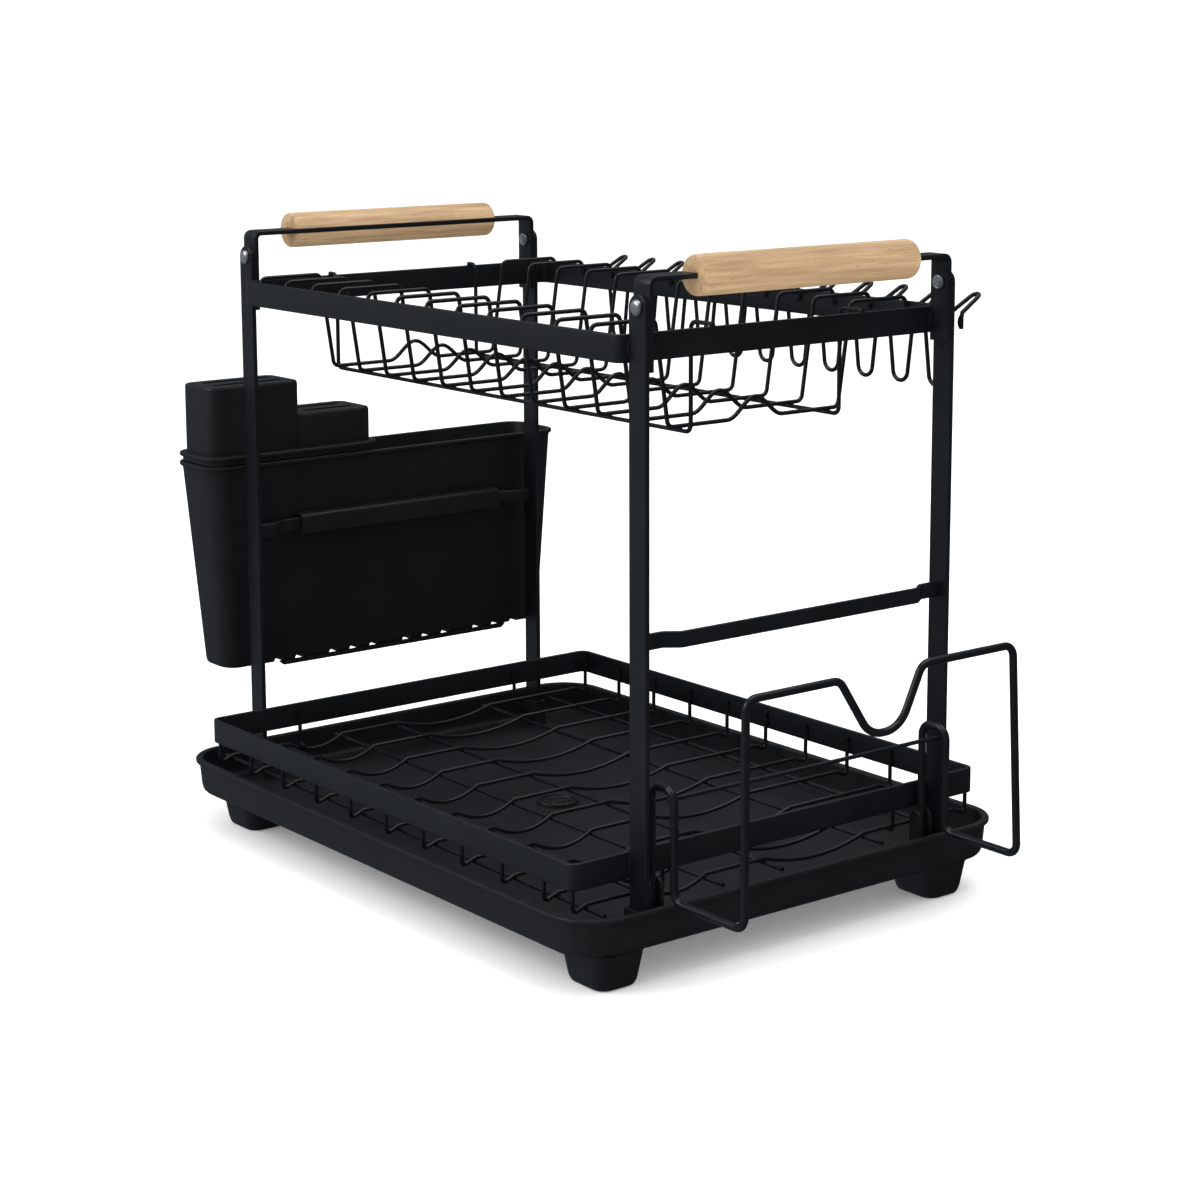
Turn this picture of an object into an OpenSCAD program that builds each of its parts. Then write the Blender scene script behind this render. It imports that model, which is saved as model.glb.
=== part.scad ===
// Two-tier dish drying rack: a footed drip tray and a flat-bar frame that stands in its sockets.
// The frame carries a lower wire basket, an upper wire rack, cup hooks and wooden handles.
// A cutlery box with a knife insert hangs on one side and a board holder stands on the other.
// Frame: +X along the length towards the board holder, +Y towards the cup hooks, +Z up, feet on z = 0.

/* [Frame] */

// Outer length of the upper rim
rim_length = 380; // [310:1:460]

// Outer depth of the upper rim
rim_depth = 235.5; // [190:0.5:285]

// Height of the top edge of the upper rim
rim_top = 347; // [290:1:415]

// Height of every rim bar
bar_height = 15; // [12:0.5:18]

// Thickness of every flat bar
bar_thick = 2.5; // [2:0.1:3.2]

// Width of the posts and of the handle brackets
post_width = 14; // [11:0.5:17]

// Thickness of the posts and of the handle brackets
post_thick = 3; // [2.4:0.1:3.6]

// Height of the bolts that join the posts to the handle brackets
bolt_height = 361; // [304:1:430]

// Shank diameter of the bolts
bolt_dia = 5; // [4:0.1:6]

// Head diameter of the bolts
bolt_head_dia = 9; // [7.5:0.1:10.5]

// Height of the cross bars between the posts
cross_bar_level = 185; // [155:1:223]

// Height of the face of a cross bar
cross_bar_height = 9; // [7.5:0.5:11]

// How far the middle of a cross bar is stepped outwards
cross_bar_step = 6; // [5:0.5:7.5]

/* [Handles] */

// Diameter of the wooden handles
handle_dia = 22; // [20:0.5:26]

// Length of the wooden handles
handle_length = 154; // [128:1:180]

// Height of the axis of the wooden handles
handle_level = 376; // [373.5:0.5:381]

/* [Upper rack wires] */

// Diameter of the basket wires
wire_dia = 2.5; // [2:0.1:3]

// Number of wires across the upper rack
upper_wires = 12; // [9:1:12]

// Distance between the wires across the upper rack
upper_pitch = 30.5; // [25:0.1:30.9]

// Height of the wire axis at the bottom of the upper rack
upper_floor = 290.5; // [284:0.5:300]

// Depth of the well of the upper rack, measured at its bottom
well_depth = 124; // [104:1:150]

// Height of the plate hump in the middle of each upper wire
hump_height = 11.5; // [10:0.5:14]

/* [Cup hooks] */

// Number of cup hooks
hook_count = 12; // [8:1:12]

// Distance between the cup hooks
hook_pitch = 29.3; // [26:0.1:30]

// Position of the first cup hook along the rim
hook_first = -125; // [-140:1:-110]

// Height of the wire axis at the bottom of the hook bends
hook_bottom = 300; // [296:1:312]

/* [Lower basket] */

// Outer depth of the lower rim
lower_depth = 299.5; // [270:0.5:304]

// Height of the top edge of the lower rim
lower_top = 70.5; // [66:0.5:84]

// Height of the axis of the wires across the lower basket
lower_floor = 45.5; // [44.5:0.5:50]

// Distance between the wires across the lower basket
lower_pitch = 38.3; // [34:0.1:38.8]

// How far the plate dips hang below the wires
dip_depth = 6; // [5:0.5:7]

/* [Drip tray] */

// Outer length of the tray at its lip
tray_length = 428; // [426:1:460]

// Outer depth of the tray at its lip
tray_depth = 317; // [314:1:360]

// Height of the tray lip
tray_top = 43.5; // [39:0.5:47]

// Height of the underside of the tray floor
tray_bottom = 20.5; // [17:0.5:22]

// Wall thickness of the tray
tray_wall = 2.5; // [2:0.1:3]

// Corner radius of the tray at its lip
tray_corner = 30; // [27:1:36]

/* [Cutlery box] */

// Length of the cutlery box at its rim
box_length = 276; // [235:1:290]

// Depth of the cutlery box at its rim
box_depth = 52; // [44:1:62]

// Height of the rim of the cutlery box
box_top = 227; // [215:1:235]

// Height of the underside of the cutlery box
box_bottom = 93; // [89:1:110]

// Wall thickness of the cutlery box
box_wall = 2; // [1.6:0.1:2.4]

// Length of the knife insert
insert_length = 122; // [104:1:140]

// Height of the tall end of the knife insert
insert_top = 277.5; // [266:0.5:288]

/* [Board holder] */

// Diameter of the board holder rod
rod_dia = 4.5; // [3.8:0.1:5.2]

// Distance between the two arches of the board holder
holder_width = 200.8; // [168:0.4:205]

// How far the board holder stands out from the rim
holder_reach = 80.5; // [68:0.5:96]

// Height of the axis of the board holder's top rail
holder_top = 168; // [140:1:200]

// Depth of the dip in the top rail
holder_dip = 33; // [27:0.5:39]

/* [Hidden] */

$fn = 48;
overlap = 0.2; // how deep a welded wire bites into what it is welded to
clear = 0.4; // gap between parts that lift out and what they stand beside
running = 0.05; // radial clearance of the bolts
sides = 8; // facets round a bent wire

half_x = rim_length / 2;
half_y = rim_depth / 2;
wire_r = wire_dia / 2;
rim_corner = 6;
post_face = half_y - rim_corner - 0.25; // outer face of a post across the depth
post_mid = half_x + post_width / 2 - overlap;
post_foot = tray_bottom + tray_wall + 3;
bracket_face = post_face - post_thick;
bracket_low = rim_top - bar_height - 4;
bracket_bend = 5;
handle_mid = half_x + handle_dia / 2;
slit_height = post_thick;

cross_bar_mid = post_mid;
cross_bar_tab = 14;
cross_bar_ramp = 8;
cross_bar_end = bracket_face + overlap;

well_half = well_depth / 2;
shoulder_level = rim_top + wire_r + 1.2;
shoulder_inner = well_half + 9; // the plate wires drop steeply into the well
shoulder_outer = half_y - bar_thick - wire_r + overlap;
hump_half = 20;
upper_first = -6.25 - (upper_wires - 1) / 2 * upper_pitch; // the wires sit slightly nearer the cutlery box
upper_long_y = well_half - 8;
upper_long_z = upper_floor - wire_dia + overlap;
upper_end_left = -half_x + 8.5;
upper_end_right = half_x - 19;
upper_end_run = 5; // straight end of an end wire that meets the wire along the well
wire_bend = 4;
floor_bend = 3;
well_corner = 6; // height at which the floor wire joins the slope

hook_plane = half_y + wire_r - overlap; // the hooks are welded on the outside of the back bar
hook_knee = rim_top - 4;
hook_out = 17;
hook_rise = 10.5;
hook_gap = 5.6; // between the two wires of a hook tip
hook_half = 6; // half the distance between the two wires of a hook bend at its bottom
hook_low = hook_knee - 3; // where a hook bend passes into a hook tip
knee_half = (hook_pitch - hook_gap) / 2 - 1.6; // half the width of a hook bend at its top

lower_half_x = half_x;
lower_half_y = lower_depth / 2;
lower_first = -lower_half_x + bar_thick + wire_r + 1.9;
lower_end = lower_half_x - bar_thick - wire_r - 0.8;
lower_wires = floor((lower_end - 18 - lower_first) / lower_pitch) + 1;
lower_drop_y = lower_half_y - bar_thick - wire_r + overlap;
lower_drop_x = lower_half_x - bar_thick - wire_r + overlap;
lower_long_z = lower_floor - wire_dia + overlap;
lower_long_left = -half_x - 3;
lower_long_right = half_x + 11;
lower_rise = 3.5; // how much lower a cross wire starts at the rim
dips = [[-97, -55], [-12, 64]];
lower_long = [-137, -97, -55, -12, 64, 112];
side_drops = [-86, 86];
lower_long_short = 188; // the wires beside the board holder stop short of its pins

lip_out = 2;
tray_x = tray_length / 2 - lip_out;
tray_y = tray_depth / 2 - lip_out;
tray_mid = -3; // the tray reaches further out below the cutlery box
tray_lean = 1.5; // how far the walls lean in towards the bottom
tray_edge = 4; // bevel between the walls and the floor
lip_height = 3;
tray_floor = tray_bottom + tray_wall;
foot_long = 39;
foot_wide = 34;
foot_taper = 3;
foot_toe = 2; // height and width of the rounded edge round the base
foot_mid_x = [-175.5, 184.5];
foot_mid_y = [-125.5, 117];
drain_x = -33;
drain_y = 8;
drain_dia = 26;
drain_ring = 2;
boss_wall = 2;
boss_top = 40;
holder_tab_top = 55;
holder_tab_long = 9;
holder_tab_thick = 2.5;

box_inner_x = -(half_x + post_width + 2.5); // side of the box rim that faces the frame
box_near = -134.5; // end of the box rim with the knife insert
box_floor_in = 6; // how far each box side leans in towards the bottom
box_floor_end = 9;
box_floor_shift = 2.4; // the side away from the frame leans in the most
box_corner = 12;
box_rim_out = 1.8;
box_mid_x = box_inner_x - box_depth / 2;
box_mid_y = box_near + box_length / 2;
bar_outer_x = cross_bar_mid + cross_bar_step + bar_thick / 2;
hanger_near = -73;
hanger_far = 84.5;
hanger_drop = 11;
hanger_thick = 2;
slot_long = 7;
slot_pitch = 15.8;
slot_group = 58;
slot_mid = 2;
rail_near = -84;
rail_far = 97;
rail_size = 2.5;
insert_gap = 0.6;
insert_wall = 2;
insert_low = insert_top - 22;
insert_step = 67.5;
insert_skirt = 42;
knife_slot = 5.5;
knife_pitch = 15;

rod_r = rod_dia / 2;
holder_y = holder_width / 2;
holder_out_x = half_x + holder_reach;
holder_leg_x = half_x + 24;
holder_pin_x = half_x + 5;
holder_base = tray_top + rod_r + 0.6;
holder_arch = 107;
holder_pin_low = tray_floor + 2;
holder_split = holder_base + 8;
holder_bend = 7;
rail_end = 14; // length of rod below the rail's corners
rail_lean = 7; // how far the far upright leans in at its top
rail_top_y = [-36, 24];
rail_bottom_y = [-14, 8];
rail_shoulder = 8; // bends of the rail at both ends of its dip
rail_bend = 17; // bends at the bottom of the dip

// Puts the origin mid-way along the whole length.
frame_shift = (holder_out_x + rod_r + box_inner_x - box_depth) / 2;

module place() {
    translate([-frame_shift, 0, 0])
        children();
}

// ---- wire sweep ----

function unit(v) = v / norm(v);

function along(p, i) = unit(p[i + 1] - p[i]);

function carry(n, a, b) = n - (n * b) / (1 + a * b) * (a + b);

function across(a) = unit(abs(a[0]) < 0.9 ? cross(a, [1, 0, 0]) : cross(a, [0, 1, 0]));

function normals(p) = [
    for (i = 0, n = across(along(p, 0));
        i < len(p) - 1;
        n = i < len(p) - 2 ? carry(n, along(p, i), along(p, i + 1)) : n, i = i + 1)
        n
];

function mitre(v, a, b) = v - a * (v * unit(a + b)) / (a * unit(a + b));

function section(n, a, r, k) = r * (cos(360 * k / sides) * n + sin(360 * k / sides) * cross(a, n));

function ring(p, ns, r, i) =
    let (last = len(p) - 1, j = max(i - 1, 0), a = along(p, j), b = along(p, min(i, last - 1)))
    [for (k = [0:sides - 1]) p[i] + mitre(section(ns[j], a, r, k), a, b)];

// Rounds every inner corner of a path with a true arc drawn in n steps.
// The radius r is one number, or one per point.
function rounded(p, r, n) = [
    for (i = [0:len(p) - 1])
        if (i == 0 || i == len(p) - 1) p[i]
        else
            let (
                a = along(p, i - 1),
                b = along(p, i),
                turn = acos(min(1, max(-1, a * b))),
                bend = is_list(r) ? r[i] : r,
                back = bend * tan(turn / 2),
                centre = p[i] + unit(b - a) * bend / cos(turn / 2),
                from = p[i] - a * back - centre,
                to = p[i] + b * back - centre
            )
            for (s = [0:n])
                centre + (sin((1 - s / n) * turn) * from + sin(s / n * turn) * to) / sin(turn)
];

module wire(path, r) {
    ns = normals(path);
    count = len(path);
    points = [for (i = [0:count - 1]) each ring(path, ns, r, i)];
    walls = [
        for (i = [0:count - 2])
            for (k = [0:sides - 1])
                let (low = i * sides, high = low + sides, after = (k + 1) % sides)
                    [low + k, low + after, high + after, high + k]
    ];
    start = [for (k = [sides - 1:-1:0]) k];
    end = [for (k = [0:sides - 1]) (count - 1) * sides + k];
    polyhedron(points, concat(walls, [start], [end]), convexity = 10);
}

module rod(from, to, r) {
    d = to - from;
    translate(from)
        rotate([0, acos(d[2] / norm(d)), atan2(d[1], d[0])])
            cylinder(h = norm(d), r = r);
}

module round_rect(x, y, r) {
    square([x - 2 * r, y], center = true);
    square([x, y - 2 * r], center = true);
    for (sx = [-1, 1])
        for (sy = [-1, 1])
            translate([sx * (x / 2 - r), sy * (y / 2 - r)])
                circle(r);
}

module band(x, y, r, wall, low, high) {
    translate([0, 0, low])
        linear_extrude(high - low)
            difference() {
                round_rect(x, y, r);
                round_rect(x - 2 * wall, y - 2 * wall, r - wall);
            }
}

// ---- drip tray ----

module post_sockets(grow, low, high) {
    for (sx = [-1, 1])
        for (sy = [-1, 1])
            translate([sx * post_mid, sy * (post_face - post_thick / 2), low])
                linear_extrude(high - low)
                    square([post_width + 2 * grow, post_thick + 2 * grow], center = true);
}

module slab(x, y, r, z) {
    translate([0, 0, z])
        linear_extrude(0.01)
            round_rect(x, y, r);
}

module tray_shell(inset, low, high) {
    wall_x = tray_x - inset;
    wall_y = tray_y - inset;
    r = tray_corner - lip_out - inset;
    base = tray_lean + tray_edge;
    translate([tray_mid, 0, 0])
        hull() {
            slab(2 * wall_x, 2 * wall_y, r, high - 0.01);
            slab(2 * (wall_x - tray_lean), 2 * (wall_y - tray_lean), r, low + tray_edge);
            slab(2 * (wall_x - base), 2 * (wall_y - base), r - tray_edge, low);
        }
}

module tray_feet() {
    inset = foot_taper + foot_toe;
    for (x = foot_mid_x)
        for (y = foot_mid_y)
            translate([x, y, 0])
                hull() {
                    slab(foot_long, foot_wide, 9, tray_bottom - 0.01);
                    slab(foot_long - 2 * foot_taper, foot_wide - 2 * foot_taper, 8, foot_toe);
                    slab(foot_long - 2 * inset, foot_wide - 2 * inset, 6, 0);
                }
}

module holder_sockets() {
    beside = rod_r + clear + holder_tab_thick / 2;
    for (sy = [-1, 1])
        for (side = [-1, 1])
            translate([holder_pin_x, sy * holder_y + side * beside, tray_floor - 1]) {
                linear_extrude(holder_tab_top - holder_tab_long / 2 - tray_floor + 1)
                    square([holder_tab_long, holder_tab_thick], center = true);
                translate([0, 0, holder_tab_top - holder_tab_long / 2 - tray_floor + 1])
                    rotate([90, 0, 0])
                        cylinder(h = holder_tab_thick, r = holder_tab_long / 2, center = true);
            }
}

module drip_tray() {
    color("#17191b") place()
        difference() {
            union() {
                difference() {
                    union() {
                        tray_shell(0, tray_bottom, tray_top);
                        translate([tray_mid, 0, tray_top - lip_height])
                            linear_extrude(lip_height)
                                round_rect(tray_length, tray_depth, tray_corner);
                    }
                    tray_shell(tray_wall, tray_floor, tray_top + 1);
                }
                tray_feet();
                post_sockets(clear + boss_wall, tray_floor - 1, boss_top);
                holder_sockets();
                translate([drain_x, drain_y, tray_floor - 1])
                    difference() {
                        cylinder(h = drain_ring + 1, d = drain_dia);
                        cylinder(h = drain_ring + 2, d = drain_dia - 4);
                    }
            }
            post_sockets(clear, post_foot, boss_top + 1);
        }
}

// ---- side frames ----

module bolt_hole(sx, sy) {
    translate([sx * post_mid, sy * post_face, bolt_height])
        rotate([90, 0, 0])
            cylinder(h = 6 * post_thick, d = bolt_dia + 2 * running, center = true);
}

module post(sx, sy) {
    color("#1d2124") place()
        difference() {
            translate([sx * post_mid, sy * (post_face - post_thick / 2), 0])
                rotate([90, 0, 0])
                    linear_extrude(post_thick, center = true) {
                        translate([-post_width / 2, post_foot])
                            square([post_width, bolt_height - post_foot]);
                        translate([0, bolt_height])
                            circle(post_width / 2);
                    }
            bolt_hole(sx, sy);
        }
}

module post_front_left() {
    post(-1, -1);
}

module post_back_left() {
    post(-1, 1);
}

module post_front_right() {
    post(1, -1);
}

module post_back_right() {
    post(1, 1);
}

module cross_bar(sx) {
    t = bar_thick / 2;
    in = cross_bar_mid;
    out = cross_bar_mid + cross_bar_step;
    near = cross_bar_end - cross_bar_tab;
    far = near - cross_bar_ramp;
    color("#1d2124") place()
        translate([0, 0, cross_bar_level - cross_bar_height / 2])
            linear_extrude(cross_bar_height)
                polygon([
                    for (side = [1, -1])
                        for (p = [[in, 1, cross_bar_end], [in, 1, near], [out, 1, far],
                                  [out, -1, far], [in, -1, near], [in, -1, cross_bar_end]])
                            [sx * (p[0] + side * t), side * p[1] * p[2]]
                ]);
}

module cross_bar_left() {
    cross_bar(-1);
}

module cross_bar_right() {
    cross_bar(1);
}

module bracket(sx) {
    top = handle_level + post_thick / 2;
    color("#1d2124") place()
        difference() {
            translate([sx * post_mid, 0, 0])
                rotate([90, 0, 90])
                    linear_extrude(post_width, center = true)
                        difference() {
                            union() {
                                translate([-bracket_face, bracket_low])
                                    square([2 * bracket_face, top - bracket_bend - bracket_low]);
                                translate([-bracket_face + bracket_bend, top - bracket_bend])
                                    square([2 * (bracket_face - bracket_bend), bracket_bend]);
                                for (sy = [-1, 1])
                                    translate([sy * (bracket_face - bracket_bend), top - bracket_bend])
                                        circle(bracket_bend);
                            }
                            translate([-bracket_face + post_thick, bracket_low - 1])
                                square([2 * (bracket_face - post_thick), top - post_thick - bracket_low + 1]);
                        }
            for (sy = [-1, 1])
                bolt_hole(sx, sy);
        }
}

module bracket_left() {
    bracket(-1);
}

module bracket_right() {
    bracket(1);
}

module handle(sx) {
    color("#d8b98a") place()
        difference() {
            translate([sx * handle_mid, 0, handle_level])
                rotate([90, 0, 0])
                    cylinder(h = handle_length, d = handle_dia, center = true);
            translate([sx * (half_x + post_width / 2 - 2), 0, handle_level])
                cube([post_width + 4, handle_length + 2, slit_height], center = true);
        }
}

module handle_left() {
    handle(-1);
}

module handle_right() {
    handle(1);
}

module bolts() {
    color("#b9bcbe") place()
        for (sx = [-1, 1])
            for (sy = [-1, 1])
                translate([sx * post_mid, sy * post_face, bolt_height])
                    rotate([sy * 90, 0, 0])
                        rotate_extrude()
                            polygon([
                                [0, -2.4], [bolt_head_dia / 4, -2.1], [bolt_head_dia / 2 - 0.8, -1.2],
                                [bolt_head_dia / 2, 0], [bolt_dia / 2, 0],
                                [bolt_dia / 2, 2 * post_thick + 2.4], [0, 2 * post_thick + 2.4]
                            ]);
}

module bolt_nuts() {
    color("#a9acae") place()
        for (sx = [-1, 1])
            for (sy = [-1, 1])
                translate([sx * post_mid, sy * (bracket_face - post_thick - 0.9), bolt_height])
                    rotate([90, 0, 0])
                        difference() {
                            cylinder(h = 1.8, d = bolt_head_dia - 0.6, center = true);
                            cylinder(h = 3, d = bolt_dia + 2 * running, center = true);
                        }
}

// ---- upper rack ----

module upper_rim() {
    color("#1d2124") place()
        band(rim_length, rim_depth, rim_corner, bar_thick, rim_top - bar_height, rim_top);
}

module shoulder(sy) {
    color("#141618") place()
        for (i = [0:upper_wires - 1])
            translate([upper_first + i * upper_pitch, 0, 0])
                wire(rounded([
                    [0, sy * shoulder_outer, rim_top - 6],
                    [0, sy * shoulder_outer, shoulder_level],
                    [0, sy * shoulder_inner, shoulder_level],
                    [0, sy * (well_half + 1), upper_floor + well_corner]
                ], wire_bend, 3), wire_r);
}

module upper_front_wires() {
    shoulder(-1);
}

module upper_back_wires() {
    shoulder(1);
}

module upper_floor_wires() {
    color("#141618") place()
        for (i = [0:upper_wires - 1])
            translate([upper_first + i * upper_pitch, 0, 0])
                wire(concat(
                    rounded([
                        [0, -well_half - 1, upper_floor + well_corner],
                        [0, -well_half, upper_floor],
                        [0, -hump_half - 4, upper_floor]
                    ], floor_bend, 2),
                    [
                        for (s = [-hump_half:5:hump_half])
                            [0, s, upper_floor + hump_height * (1 + cos(180 * s / hump_half)) / 2]
                    ],
                    rounded([
                        [0, hump_half + 4, upper_floor],
                        [0, well_half, upper_floor],
                        [0, well_half + 1, upper_floor + well_corner]
                    ], floor_bend, 2)
                ), wire_r);
}

module upper_long_wires() {
    color("#141618") place()
        for (sy = [-1, 1])
            rod([upper_end_left + upper_end_run, sy * upper_long_y, upper_long_z],
                [upper_end_right - upper_end_run, sy * upper_long_y, upper_long_z], wire_r);
}

module upper_end(x, sx) {
    top = rim_top + wire_r - overlap;
    for (sy = [-1, 1])
        wire(rounded([
            [sx * (half_x - 0.4), sy * upper_long_y, top],
            [x, sy * upper_long_y, top],
            [x, sy * upper_long_y, upper_long_z],
            [x - sx * upper_end_run, sy * upper_long_y, upper_long_z]
        ], wire_bend, 3), wire_r);
}

module upper_end_wires() {
    color("#141618") place() {
        upper_end(upper_end_left, -1);
        upper_end(upper_end_right, 1);
    }
}

// ---- cup hooks ----

function bend_x(i) = hook_first + (i + 0.5) * hook_pitch;

function tip_x(i) = hook_first + i * hook_pitch;

module cup_hook_bends() {
    color("#141618") place()
        for (i = [0:hook_count - 2])
            translate([bend_x(i), hook_plane, 0])
                wire(concat(
                    [[-knee_half, 0, hook_low]],
                    [
                        for (a = [180:22.5:360])
                            [hook_half * cos(a), 0, hook_bottom + hook_half + hook_half * sin(a)]
                    ],
                    [[knee_half, 0, hook_low]]
                ), wire_r);
}

module cup_hook_tips() {
    low_half = hook_pitch / 2 - knee_half;
    color("#141618") place()
        for (i = [0:hook_count - 1])
            translate([tip_x(i), hook_plane, 0])
                wire(concat(
                    [[-low_half, 0, hook_low], [-low_half + 0.4, 0.6, hook_knee]],
                    [
                        for (a = [180:-30:0])
                            let (s = hook_gap / 2 * sin(a))
                                [
                                    hook_gap / 2 * cos(a),
                                    hook_out - hook_gap / 2 + s,
                                    hook_knee + (hook_rise - 1) * (hook_out - hook_gap / 2 + s) / hook_out
                                ]
                    ],
                    [[low_half - 0.4, 0.6, hook_knee], [low_half, 0, hook_low]]
                ), wire_r);
}

// ---- lower basket ----

module lower_rim() {
    color("#1d2124") place()
        band(2 * lower_half_x, lower_depth, rim_corner, bar_thick, lower_top - bar_height, lower_top);
}

function lower_x() = concat([for (i = [0:lower_wires - 1]) lower_first + i * lower_pitch], [lower_end]);

module lower_uprights() {
    high = lower_top - 4;
    color("#141618") place() {
        for (x = lower_x())
            for (sy = [-1, 1])
                rod([x, sy * lower_drop_y, lower_floor - lower_rise], [x, sy * lower_drop_y, high], wire_r);
        for (sx = [-1, 1])
            for (y = side_drops)
                rod([sx * lower_drop_x, y, lower_long_z], [sx * lower_drop_x, y, high], wire_r);
    }
}

module lower_cross_wires() {
    end = lower_drop_y - wire_r;
    color("#141618") place()
        for (x = lower_x())
            translate([x, 0, 0])
                wire(concat(
                    [[0, -end, lower_floor - lower_rise], [0, lower_long[0], lower_floor]],
                    [
                        for (d = dips)
                            each [
                                for (s = [0:0.125:1])
                                    [
                                        0,
                                        d[0] + s * (d[1] - d[0]),
                                        lower_floor - dip_depth * (1 - pow(2 * s - 1, 2))
                                    ]
                            ]
                    ],
                    [[0, -lower_long[0], lower_floor], [0, end, lower_floor - lower_rise]]
                ), wire_r);
}

module lower_long_wires() {
    color("#141618") place()
        for (y = lower_long)
            rod([lower_long_left, y, lower_long_z],
                [abs(abs(y) - holder_y) < 8 ? lower_long_short : lower_long_right, y, lower_long_z], wire_r);
}

// ---- cutlery box ----

module box_slab(inset, lean, z) {
    translate([box_mid_x + lean * box_floor_shift, box_mid_y, 0])
        slab(
            box_depth - 2 * (box_rim_out + inset + lean * box_floor_in),
            box_length - 2 * (box_rim_out + inset + lean * box_floor_end),
            box_corner - inset,
            z
        );
}

module box_shell(inset, low, high) {
    hull() {
        box_slab(inset, 0, high - 0.01);
        box_slab(inset, 1, low);
    }
}

module box_hanger() {
    bar_in = bar_outer_x - bar_thick - clear;
    low = cross_bar_level + cross_bar_height / 2 + overlap;
    translate([0, hanger_far, 0])
        rotate([90, 0, 0])
            linear_extrude(hanger_far - hanger_near)
                polygon([
                    [-bar_in, low - hanger_drop], [-bar_in, low],
                    [-bar_outer_x - 8, low], [-bar_outer_x - 8, low + hanger_thick],
                    [-bar_in + hanger_thick, low + hanger_thick], [-bar_in + hanger_thick, low - hanger_drop]
                ]);
}

module cutlery_box() {
    inner = box_mid_x + box_depth / 2 - box_rim_out - box_floor_in + box_floor_shift;
    color("#15171a") place()
        difference() {
            union() {
                difference() {
                    union() {
                        box_shell(0, box_bottom, box_top);
                        translate([box_mid_x, box_mid_y, box_top - 3])
                            linear_extrude(3)
                                round_rect(box_depth, box_length, box_corner + box_rim_out);
                        box_hanger();
                    }
                    box_shell(box_wall, box_bottom + box_wall, box_top + 1);
                }
                translate([inner - rail_size, rail_near, box_bottom - rail_size])
                    cube([rail_size, rail_far - rail_near, rail_size + 0.5]);
            }
            for (g = [-1.5:1:1.5])
                for (k = [-1, 0, 1])
                    translate([inner, slot_mid + g * slot_group + k * slot_pitch, box_bottom + 1.5])
                        cube([36, slot_long, 3], center = true);
        }
}

module knife_insert() {
    x = box_depth - 2 * (box_rim_out + box_wall + insert_gap) - 4.2;
    y0 = box_near + box_rim_out + box_wall + insert_gap;
    mid = y0 + insert_length / 2;
    seat = box_top + overlap;
    color("#15171a") place()
        difference() {
            union() {
                translate([box_mid_x, y0 + insert_step / 2, seat])
                    linear_extrude(insert_top - seat)
                        round_rect(x, insert_step, box_corner - 4);
                translate([box_mid_x, mid, seat])
                    linear_extrude(insert_low - seat)
                        round_rect(x, insert_length, box_corner - 4);
                translate([box_mid_x, mid, seat])
                    linear_extrude(3.5)
                        round_rect(box_depth - 5, insert_length + 4, box_corner - 1);
                translate([box_mid_x, mid, seat + 3.5])
                    linear_extrude(2.5)
                        round_rect(box_depth - 1, insert_length + 9, box_corner);
                translate([box_mid_x, mid, box_top - insert_skirt])
                    linear_extrude(insert_skirt + 1)
                        round_rect(x - 4, insert_length - 8, box_corner - 5);
            }
            translate([box_mid_x, y0 + insert_step / 2 + 2, box_top - insert_skirt - 1])
                linear_extrude(insert_top - box_top + insert_skirt + 1 - insert_wall)
                    round_rect(x - 4 - 2 * insert_wall, insert_step - 8, box_corner - 8);
            translate([box_mid_x, mid, box_top - insert_skirt - 1])
                linear_extrude(insert_low - box_top + insert_skirt + 1 - insert_wall)
                    round_rect(x - 4 - 2 * insert_wall, insert_length - 12, box_corner - 8);
            for (s = [-0.5, 0.5]) {
                translate([box_mid_x + s * knife_pitch, y0 + insert_step / 2 + 1, insert_top])
                    cube([knife_slot, insert_step - 16, 3 * insert_wall], center = true);
                translate([box_mid_x + s * knife_pitch, y0 + (insert_step + insert_length) / 2, insert_low])
                    cube([knife_slot, insert_length - insert_step - 16, 3 * insert_wall], center = true);
            }
        }
}

// ---- board holder ----

module holder_pins() {
    color("#141618") place()
        for (sy = [-1, 1])
            rod([holder_pin_x, sy * holder_y, holder_pin_low],
                [holder_pin_x, sy * holder_y, holder_split], rod_r);
}

module holder_arches() {
    color("#141618") place()
        for (sy = [-1, 1])
            wire(rounded([
                [holder_pin_x, sy * holder_y, holder_split],
                [holder_pin_x, sy * holder_y, holder_arch],
                [holder_leg_x, sy * holder_y, holder_arch],
                [holder_leg_x, sy * holder_y, holder_base],
                [holder_leg_x + 10, sy * holder_y, holder_base]
            ], holder_bend, 4), rod_r);
}

module holder_base_rods() {
    color("#141618") place()
        for (sy = [-1, 1])
            rod([holder_leg_x + 10, sy * holder_y, holder_base],
                [holder_out_x - 10, sy * holder_y, holder_base], rod_r);
}

function rail_y(sy) = sy * holder_y - (sy > 0 ? rail_lean : 0);

module holder_uprights() {
    color("#141618") place()
        for (sy = [-1, 1])
            wire(rounded([
                [holder_out_x - 10, sy * holder_y, holder_base],
                [holder_out_x, sy * holder_y, holder_base],
                [holder_out_x, rail_y(sy), holder_top - rail_end]
            ], holder_bend, 4), rod_r);
}

module holder_rail() {
    dip = holder_top - holder_dip;
    bends = [0, holder_bend, rail_shoulder, rail_bend, rail_bend, rail_shoulder, holder_bend, 0];
    color("#141618") place()
        wire(rounded([
            [holder_out_x, rail_y(-1), holder_top - rail_end],
            [holder_out_x, rail_y(-1), holder_top],
            [holder_out_x, rail_top_y[0], holder_top],
            [holder_out_x, rail_bottom_y[0], dip],
            [holder_out_x, rail_bottom_y[1], dip],
            [holder_out_x, rail_top_y[1], holder_top],
            [holder_out_x, rail_y(1), holder_top],
            [holder_out_x, rail_y(1), holder_top - rail_end]
        ], bends, 6), rod_r);
}

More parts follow.
